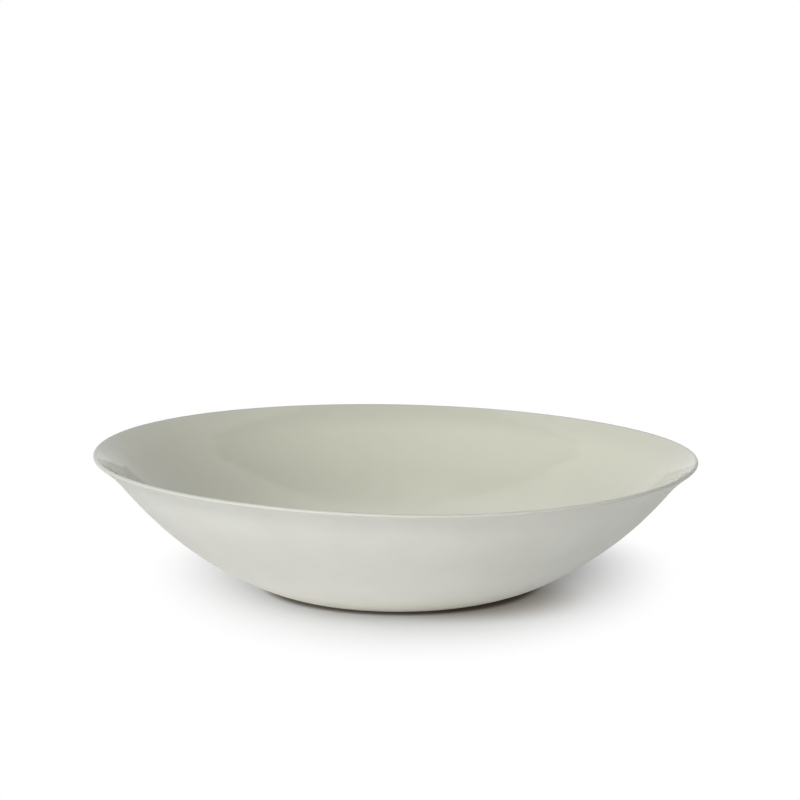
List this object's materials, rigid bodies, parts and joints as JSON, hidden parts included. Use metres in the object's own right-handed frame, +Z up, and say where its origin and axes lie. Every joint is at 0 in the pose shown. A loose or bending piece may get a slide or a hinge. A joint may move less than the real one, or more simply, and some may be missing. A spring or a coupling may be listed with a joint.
{
  "type": "serving bowl",
  "caption": "Wide shallow porcelain serving bowl with a turned-out, hand-cut lip, matte outside and glazed inside.",
  "frame": {"origin": "middle of the foot, on the plane of the table that the bowl stands on", "axes": "+Z up along the bowl's axis, +X to the right as the picture shows it, +Y away from the viewer"},
  "size_m": [0.3409, 0.339, 0.0806],
  "materials": {
    "bare_porcelain": "matte, polished bare porcelain",
    "glaze": "clear glossy glaze, pale grey-green where it is thick"
  },
  "bodies": {
    "root": {"porcelain_body": "bare_porcelain", "glaze_lining": "glaze"}
  },
  "joints": []
}
